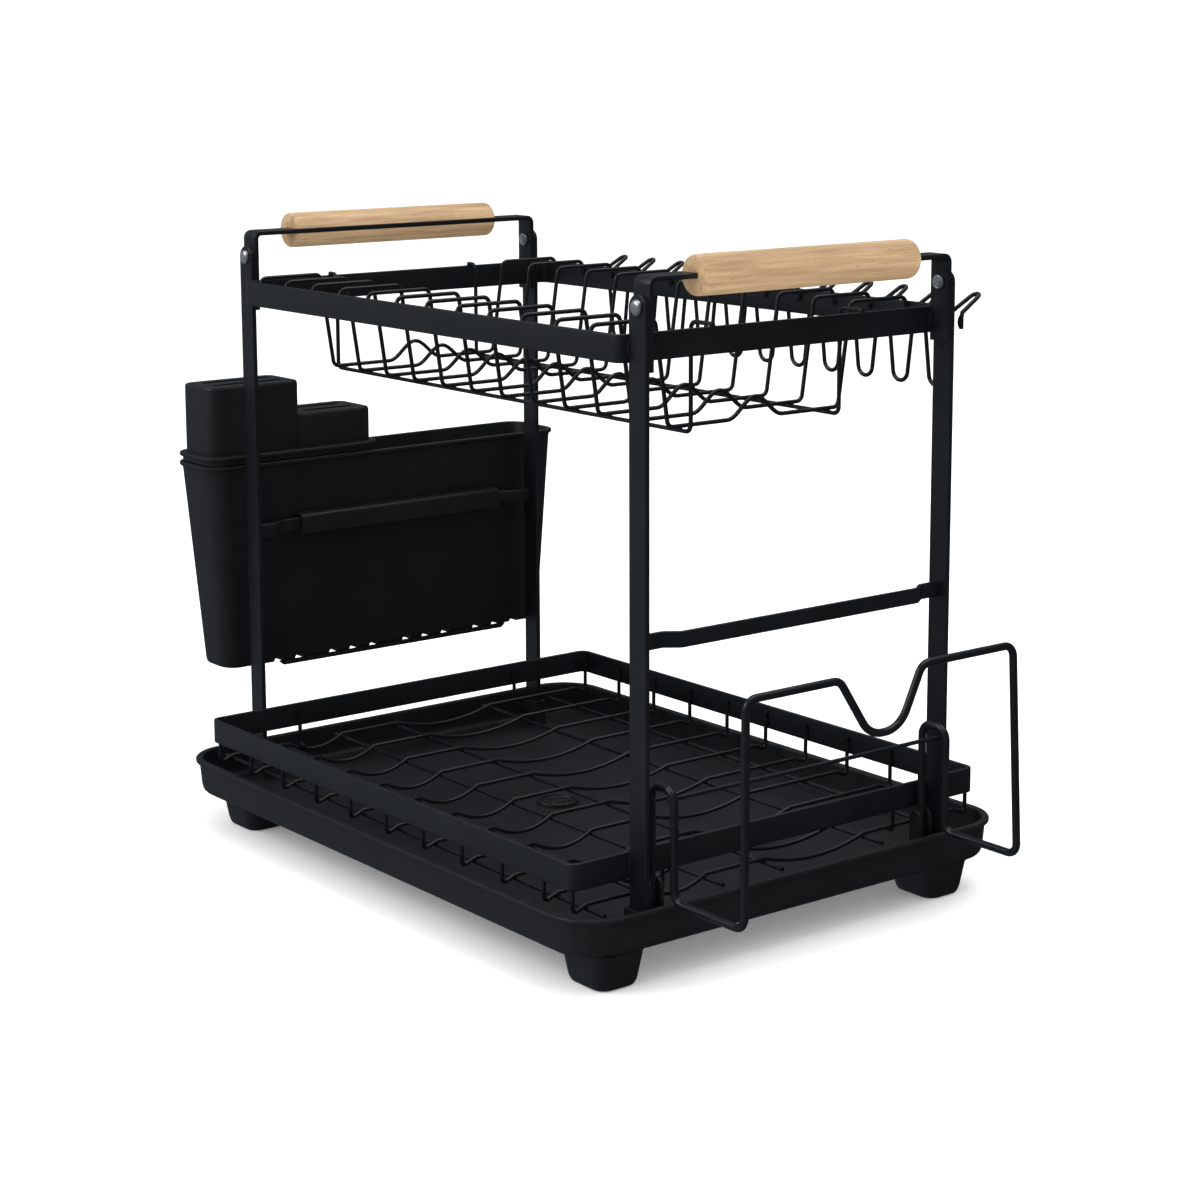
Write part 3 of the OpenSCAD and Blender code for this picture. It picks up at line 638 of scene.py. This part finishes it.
# ---- Cup hooks ----
# One long wire bent into a row of loops on the outside of the back bar: it drops in a round bend below
# the bar, climbs, and leans out and up into a narrow hook tip, twelve times over.
hook_y, hook_bottom, hook_knee, hook_pitch, hook_first = 118.8, 300.0, 343.0, 29.3, -125.0
hook_low, hook_tip, hook_reach, hook_rise, bend_radius = 4.4, 2.8, 17.0, 9.5, 6.0
bend_top, wire_end = 339.0, 334.0
knee = ((0.0, 0.1, 341.4), (0.35, 0.9, 343.2))  # how the wire turns outwards at the top of the bar
hooks = Shape()
hook_path = [Vector((hook_first - hook_low, hook_y, level)) for level in (wire_end, bend_top)]
for k in range(12):
    x = hook_first + k * hook_pitch
    hook_path += [Vector((x - hook_low + inward, hook_y + out, z)) for inward, out, z in knee]
    for angle in range(180, -1, -20):
        turn = math.radians(angle)
        out = hook_reach - hook_tip + hook_tip * math.sin(turn)
        level = hook_knee + hook_rise * out / hook_reach
        hook_path.append(Vector((x + hook_tip * math.cos(turn), hook_y + out, level)))
    hook_path += [Vector((x + hook_low - inward, hook_y + out, z)) for inward, out, z in reversed(knee)]
    hook_path.append(Vector((x + hook_low, hook_y, bend_top)))
    if k < 11:
        mid = x + hook_pitch / 2
        for angle in range(188, 353, 12):
            hook_path.append(Vector((
                mid + bend_radius * math.cos(math.radians(angle)), hook_y,
                hook_bottom + bend_radius + bend_radius * math.sin(math.radians(angle)),
            )))
        hook_path.append(Vector((x + hook_pitch - hook_low, hook_y, bend_top)))
    else:
        hook_path.append(Vector((x + hook_low, hook_y, wire_end)))
    for side in (-1, 1):
        weld(hooks, (x + side * hook_low, 118.0, 338.0), 2.0, 1.3, 4.0)
swept(hooks, hook_path, round_section(wire_radius))
hooks.piece("cup_hook_wire", "rack", wire_finish, "cup_hook_bends", "cup_hook_tips")

# ---- Lower rim ----
# The same 15 x 2.5 mm bar as the upper rim, in a deeper rectangle, welded between the posts just above
# the tray.
lower_deep, lower_top = 299.5, 70.5
lower_rim = rim_ring(rim_long, lower_deep, lower_top - bar_high / 2)
for side_x in (-1, 1):
    for side_y in (-1, 1):
        weld(lower_rim, (side_x * 190.2, side_y * 111.4, 63.0), 1.3, 1.5, 6.0)
        weld(lower_rim, (side_x * 190.2, side_y * 108.6, 63.0), 1.3, 1.5, 6.0)
lower_rim.piece("lower_rim_bar", "rack", bar_finish, "lower_rim")

# ---- Lower basket wires ----
# Eleven wires cross the lower basket. Each turns down inside the rim, rises a little to the level of the
# floor and sags in two shallow arcs that seat bowls and pans; four short drops on the short bars carry
# the long wires.
basket_level, drop_level, drop_y, drop_top, sag = 45.5, 42.0, 146.2, 66.5, 6.0
basket_x = [-184.35 + 38.3 * k for k in range(10)] + [185.45]
turn_in = [(-drop_y, drop_top), (-drop_y, drop_level), (-137.0, basket_level), (-110.0, basket_level)]
basket = Shape()
for x in basket_x:
    path = rounded_path([(x, y, z) for y, z in turn_in], 2.2, 5)
    for low_y, high_y in ((-97.0, -55.0), (-12.0, 64.0)):
        for step in range(13):
            share = step / 12
            path.append(Vector((
                x, low_y + share * (high_y - low_y), basket_level - sag * (1 - (2 * share - 1) ** 2)
            )))
    path += rounded_path([(x, -y, z) for y, z in reversed(turn_in)], 2.2, 5)
    swept(basket, path, round_section(wire_radius))
    for side_y in (-1, 1):
        weld(basket, (x, side_y * 146.6, 60.0), 2.0, 1.2, 4.0)
runner_level, short_drop_x = 43.2, 186.45
for side_x in (-1, 1):
    for y in (-86.0, 86.0):
        drop_x = side_x * short_drop_x
        route = [(drop_x, y, drop_top), (drop_x, y, runner_level), (side_x * 180, y, runner_level)]
        swept(basket, rounded_path(route, 2.2, 5), round_section(wire_radius))
        weld(basket, (side_x * 186.8, y, 60.0), 1.2, 2.0, 4.0)
basket.piece("basket_cross_wires", "rack", wire_finish, "lower_cross_wires", "lower_uprights")

# ---- Runners of the lower basket ----
# Six straight wires run the length of the basket under the cross wires and are spot welded to each of
# them. Those beside the board holder stop short of its pins.
runners = Shape()
for y in (-137.0, -97.0, -55.0, -12.0, 64.0, 112.0):
    far = 188.0 if abs(y) == 97.0 else 201.0
    path = [Vector((x, y, runner_level)) for x in (-193.0, 0, far)]
    swept(runners, path, round_section(wire_radius))
    for x in basket_x:
        weld(runners, (x, y, 44.3), 1.8, 1.8, 0.8)
runners.piece("basket_runners", "rack", wire_finish, "lower_long_wires")

# ---- Cutlery box ----
# A tall, narrow black moulding that leans in towards its floor, with a turned-out rim, a long hooked
# flange that hangs on the left cross bar, and twelve drain slots along its lower inner edge above a
# stiffening rail.
box_finish = moulded_black("box_moulding", "box_plastic", (0.0036, 0.0046, 0.0062), 0.42)
box_x, box_y, box_top, box_low = -232.5, 3.5, 227.0, 93.0
box_long, box_deep, box_radius = 272.4, 48.4, 12.0


def box_level(out, height, lean):
    """One level of the box: its size shrinks and its middle shifts towards the frame as it goes down."""
    return corner_box(
        box_x + 2.4 * lean, box_y, box_deep - 12 * lean + 2 * out, box_long - 18 * lean + 2 * out,
        box_radius + out, height, 10,
    )


levels = []
for out, height in (
    (-5.0, 93.0), (-2.6, 93.05), (-1.2, 93.5), (-0.3, 94.6), (0.0, 96.5), (0.0, 221.0), (0.1, 223.0),
    (0.5, 224.0), (1.3, 224.3), (1.75, 224.8), (1.8, 225.6), (1.6, 226.5), (1.1, 226.95), (0.4, 227.0),
    (-1.2, 227.0), (-1.8, 226.7), (-2.0, 226.0), (-2.0, 100.0), (-2.4, 97.0), (-3.6, 95.4), (-6.0, 95.0),
):
    levels.append(box_level(out, height, (box_top - height) / (box_top - box_low)))
box = Shape().loft(levels)
box_piece = box.piece("cutlery_holder", "box", box_finish, "cutlery_box")
slot_level, slot_mid, slot_group, slot_pitch = 94.4, 2.0, 58.0, 15.8
slot_outline = ((-3.5, -1.9), (3.5, -1.9), (3.5, 0.6), (2.5, 1.6), (-2.5, 1.6), (-3.5, 0.6))
cutters = Shape()
for group in (-1.5, -0.5, 0.5, 1.5):
    for k in (-1, 0, 1):
        mid = slot_mid + slot_group * group + slot_pitch * k
        cutters.loft([
            [Vector((x, mid + u, slot_level + v)) for u, v in slot_outline] for x in (-230.0, -205.0)
        ])
cutter = bpy.data.objects.new("slot_cutter", cutters.mesh("slot_cutter"))
bpy.context.scene.collection.objects.link(cutter)
cut = box_piece.modifiers.new("drain_slots", "BOOLEAN")
cut.operation = "DIFFERENCE"
cut.solver = "EXACT"
cut.object = cutter
bpy.context.view_layer.update()
slotted = bpy.data.meshes.new_from_object(box_piece.evaluated_get(bpy.context.evaluated_depsgraph_get()))
box_piece.modifiers.clear()
box_piece.data = slotted
slotted.set_sharp_from_angle(angle=math.radians(35))
bpy.data.objects.remove(cutter)

# The flange and the rail are moulded on: the flange turns over the cross bar, the rail runs under the
# slots.
trim = Shape()
flange_x, flange_y, flange_long, flange_top = -200.15, 5.75, 157.2, 190.7
flange = [(flange_x, flange_y, 178.9), (flange_x, flange_y, flange_top), (-210.4, flange_y, flange_top)]
swept(trim, rounded_path(flange, 1.6, 6), [(u, v) for v, u in bar_section(flange_long, 2.0, 0.5)], (0, 1, 0))
rail = []
for y, drop in ((-84.0, 0.2), (-81.5, 2.2), (-80.5, 2.5), (93.5, 2.5), (94.5, 2.2), (97.0, 0.2)):
    rail.append([
        Vector((x, y, z))
        for x, z in ((-214.4, 93.4), (-214.4, 93.3 - drop), (-214.0, 93.0 - drop), (-212.4, 93.0 - drop),
                     (-212.0, 93.3 - drop), (-211.9, 93.4))
    ])
trim.loft(rail)
trim.piece("cutlery_holder_flange", "box", box_finish)

# ---- Knife insert ----
# A stepped black moulding that drops into the mouth of the cutlery box. A collar and a flange rest on the
# rim, a skirt hangs inside, and each of its two flat tops has two knife slots.
insert_finish = moulded_black("insert_moulding", "insert_plastic", (0.0040, 0.0050, 0.0066), 0.42)
insert_x, insert_near, tall_far, low_far = -232.5, -130.1, -62.6, -8.1
tall_top, low_top, seat = 277.5, 255.5, 227.2


def block(shape, near, far, top, base, slots):
    """One hollow step of the insert, open below. Gives the outlines of its top and of the slots in it."""
    wide, long = 39.0, far - near
    mid = (near + far) / 2
    levels = [
        corner_box(insert_x, mid, wide + 2 * out, long + 2 * out, 8.0 + out, height, 8)
        for out, height in (
            (-2.0, base), (0.0, base), (0.0, top - 2.2), (-0.25, top - 1.1), (-0.85, top - 0.3), (-1.9, top),
        )
    ]
    shape.loft(levels, start=False, end=False)
    edge = levels[-1]
    first = len(shape.points)
    shape.points += edge
    outline = list(range(first, first + len(edge)))
    holes = [
        corner_box(insert_x + side * 7.5, (slots[0] + slots[1]) / 2, 5.5, slots[1] - slots[0], 1.2, top, 3)
        for side in (-1, 1)
    ]
    return outline, holes


def lidded(shape, near, far, top, base, slots):
    """Closes a step's top around its slots and gives each slot a rolled edge and a depth."""
    outline, holes = block(shape, near, far, top, base, slots)
    lid = bmesh.new()
    edges = []
    for ring in [[shape.points[k] for k in outline]] + holes:
        corners = [lid.verts.new(p) for p in ring]
        edges += [lid.edges.new((corners[k], corners[(k + 1) % len(corners)])) for k in range(len(corners))]
    bmesh.ops.triangle_fill(lid, edges=edges, use_beauty=True, normal=(0, 0, 1))
    lid.verts.index_update()
    offset = len(shape.points)
    shape.points += [v.co.copy() for v in lid.verts]
    shape.faces += [tuple(offset + v.index for v in f.verts) for f in lid.faces]
    lid.free()
    for mouth in holes:
        mid = sum(mouth, Vector((0, 0, 0))) / len(mouth)
        rings = [
            [p.lerp(mid, shrink) - Vector((0, 0, depth)) for p in mouth]
            for shrink, depth in ((0.0, 0.0), (0.02, 0.5), (0.02, 2.2))
        ]
        shape.loft(rings, start=False, end=False)


insert = Shape()
lidded(insert, insert_near, tall_far, tall_top, seat, (-121.1, -69.6))
lidded(insert, tall_far - 6.0, low_far, low_top, seat, (-54.6, -16.1))
insert_mid, insert_long = (insert_near + low_far) / 2, low_far - insert_near
insert.loft([
    corner_box(insert_x, insert_mid, 47.0 + 2 * out, insert_long + 4 + 2 * out, 11.0 + out, height, 8)
    for out, height in (
        (-8.0, 227.2), (-0.6, 227.2), (0.0, 227.6), (0.0, 230.2), (1.4, 230.5), (1.9, 230.9), (2.0, 231.6),
        (1.95, 232.6), (1.5, 233.1), (0.7, 233.2), (-3.0, 233.3), (-8.0, 233.3),
    )
], start=False, end=False)
insert.loft([
    corner_box(insert_x, insert_mid, 35.0 - 2 * inset, insert_long - 8 - 2 * inset, 7.0 - inset, height, 8)
    for inset, height in (
        (0.0, 229.0), (0.0, 186.0), (0.4, 185.2), (1.0, 185.0), (1.6, 185.2), (2.0, 186.0), (2.0, 229.0)
    )
], start=False, end=False)
insert.piece("knife_block", "insert", insert_finish, "knife_insert", crease=32)

# ---- Board holder ----
# One bent 4.5 mm rod: a pin in the tray, an arch over the lip, a run outwards and up, and a top rail with
# a dip for a grip. A thin wire is welded across the two arches. It lifts straight out of the tray.
holder_finish = powder_coat("rod_powder_coat", "holder_rod", (0.0028, 0.0036, 0.0050), 0.26)
rod_radius, holder_y, holder_top, base_level = 2.25, 100.4, 168.0, 46.35
leg_x, rail_x, arch_level, rail_near, rail_far = 214.0, 270.5, 107.0, -100.4, 93.4
half_route = [
    (pin_x, holder_y, 25.2), (pin_x, holder_y, arch_level), (leg_x, holder_y, arch_level),
    (leg_x, holder_y, base_level), (rail_x, holder_y, base_level),
]
dip = [(-36.0, 0.0), (-14.0, 33.0), (8.0, 33.0), (24.0, 0.0)]
rod_route = [(x, -y, z) for x, y, z in half_route] + [(rail_x, rail_near, holder_top)]
rod_route += [(rail_x, y, holder_top - drop) for y, drop in dip]
rod_route += [(rail_x, rail_far, holder_top)] + list(reversed(half_route))
rod_bends = [7.0] * 6 + [8.0, 17.0, 17.0, 8.0] + [7.0] * 6
rod = Shape()
swept(rod, rounded_path(rod_route, rod_bends, 9), round_section(rod_radius, 16))
for side_y in (-1, 1):
    weld(rod, (211.2, side_y * holder_y, 102.0), 1.6, 2.6, 1.7)
rod.piece("board_rod", "board_holder", holder_finish,
          "holder_pins", "holder_arches", "holder_base_rods", "holder_uprights", "holder_rail")
tie = Shape()
tie_x = leg_x - rod_radius - wire_radius + 0.2
swept(tie, [Vector((tie_x, y, 102.0)) for y in (-102.4, 0, 102.4)], round_section(wire_radius))
tie.piece("board_tie_wire", "board_holder", holder_finish, "holder_cross_wire")

# ---- Studio ----
# A plain pale floor under soft light from the front left and above; the end of the rack stays in shade.
floor_mesh = bpy.data.meshes.new("studio_floor")
floor_mesh.from_pydata([(-9, -9, 0), (9, -9, 0), (9, 9, 0), (-9, 9, 0)], [], [(0, 1, 2, 3)])
studio_floor = bpy.data.objects.new("studio_floor", floor_mesh)
bpy.context.scene.collection.objects.link(studio_floor)
paper = Finish("studio_paper", "")
paper_tone = paper.noise(paper.place(), 3.0).ramp(0.2, 0.8)
paper.wear(
    base_color=paper.tint((0.93, 0.93, 0.93, 1), (0.95, 0.95, 0.95, 1), paper_tone),
    roughness=0.9,
    emission_color=(1.0, 1.0, 1.0, 1.0),
    emission_strength=0.16,
)
floor_mesh.materials.append(paper.material)
studio_floor.visible_glossy = False

world = bpy.data.worlds.new("studio")
bpy.context.scene.world = world
world.use_nodes = True
sky = world.node_tree
white = sky.nodes["Background"]
white.inputs["Color"].default_value = (1.0, 1.0, 1.0, 1.0)
white.inputs["Strength"].default_value = 1.16
toward = sky.nodes.new("ShaderNodeTexCoord")
side = sky.nodes.new("ShaderNodeVectorMath")
side.operation = "DOT_PRODUCT"
side.inputs[1].default_value = (-0.80, -0.60, 0.10)
sky.links.new(toward.outputs["Generated"], side.inputs[0])
fall = sky.nodes.new("ShaderNodeMapRange")
sky.links.new(side.outputs["Value"], fall.inputs[0])
dark_turn, bright_turn, dark_glow, bright_glow = -0.55, 1.0, 0.018, 0.24
for k, value in enumerate((dark_turn, bright_turn, dark_glow, bright_glow)):
    fall.inputs[k + 1].default_value = value
walls = sky.nodes.new("ShaderNodeBackground")
walls.inputs["Color"].default_value = (0.78, 0.89, 1.0, 1.0)
sky.links.new(fall.outputs[0], walls.inputs["Strength"])
ray = sky.nodes.new("ShaderNodeLightPath")
either = sky.nodes.new("ShaderNodeMixShader")
sky.links.new(ray.outputs["Is Glossy Ray"], either.inputs[0])
sky.links.new(white.outputs[0], either.inputs[1])
sky.links.new(walls.outputs[0], either.inputs[2])
sky.links.new(either.outputs[0], sky.nodes["World Output"].inputs[0])


def soft_light(name, at, aim, size, power):
    data = bpy.data.lights.new(name, "AREA")
    data.shape = "RECTANGLE"
    data.size, data.size_y = size
    data.energy = power
    lamp = bpy.data.objects.new(name, data)
    lamp.location = at
    lamp.rotation_euler = (Vector(aim) - Vector(at)).to_track_quat("-Z", "Y").to_euler()
    bpy.context.scene.collection.objects.link(lamp)


soft_light("key", (-0.9, -2.2, 1.9), (0, 0, 0.15), (1.6, 1.2), 26)
soft_light("top", (0.1, 0.5, 2.4), (0, 0, 0.2), (2.2, 2.2), 26)

camera_data = bpy.data.cameras.new("camera")
camera_data.sensor_width = 36.0
camera_data.lens = 78.534
camera_data.shift_y = -0.1
camera = bpy.data.objects.new("camera", camera_data)
camera.location = ((1237.6 - TRAY_MID) * MM, -943.0 * MM, 502.1 * MM)
camera_yaw, camera_pitch, camera_roll = math.radians(52.2), math.radians(-9.8), math.radians(-0.2)
ahead = Vector((
    -math.sin(camera_yaw) * math.cos(camera_pitch), math.cos(camera_yaw) * math.cos(camera_pitch),
    math.sin(camera_pitch),
))
right = ahead.cross(Vector((0, 0, 1))).normalized()
above = right.cross(ahead)
tilted_right = right * math.cos(camera_roll) + above * math.sin(camera_roll)
tilted_up = above * math.cos(camera_roll) - right * math.sin(camera_roll)
camera.rotation_mode = "QUATERNION"
camera.rotation_quaternion = Matrix((tilted_right, tilted_up, -ahead)).transposed().to_quaternion()
bpy.context.scene.collection.objects.link(camera)
bpy.context.scene.camera = camera
bpy.context.scene.view_settings.view_transform = "Standard"
